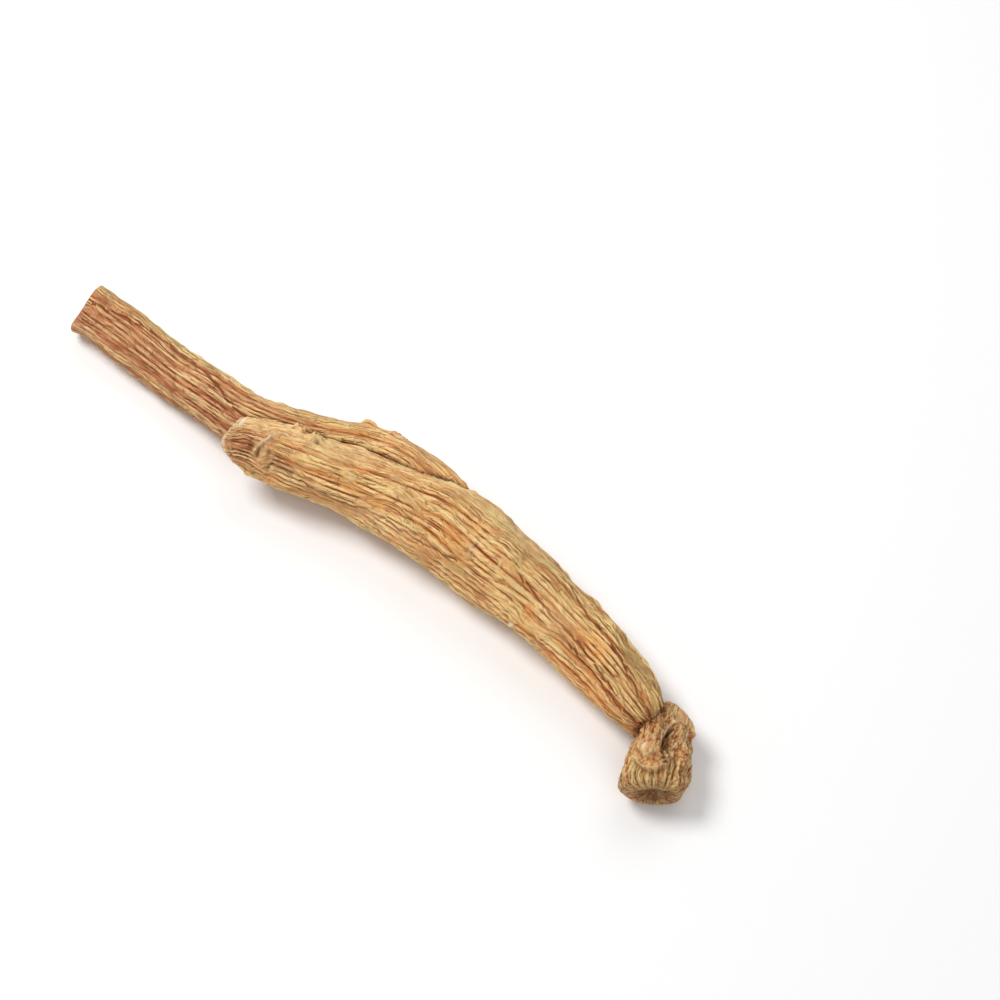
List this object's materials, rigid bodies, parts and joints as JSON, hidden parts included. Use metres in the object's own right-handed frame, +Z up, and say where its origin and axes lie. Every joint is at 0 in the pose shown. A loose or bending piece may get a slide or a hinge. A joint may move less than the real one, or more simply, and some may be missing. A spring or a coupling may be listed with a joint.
{
  "type": "ginseng root",
  "caption": "Dried forked ginseng root with a wrinkled tapering body, a long leg, a short stub and a gnarled crown, lying on its side.",
  "frame": {"origin": "on the surface the root lies on, under the middle of the box round it", "axes": "+Z up, +X from the cut tip of the long leg towards the crown, the cut stub on the -Y side"},
  "size_m": [0.2142, 0.0383, 0.0235],
  "materials": {
    "root_skin": "matt, dry and wrinkled"
  },
  "bodies": {
    "root": {"ginseng_root": "root_skin"}
  },
  "joints": []
}
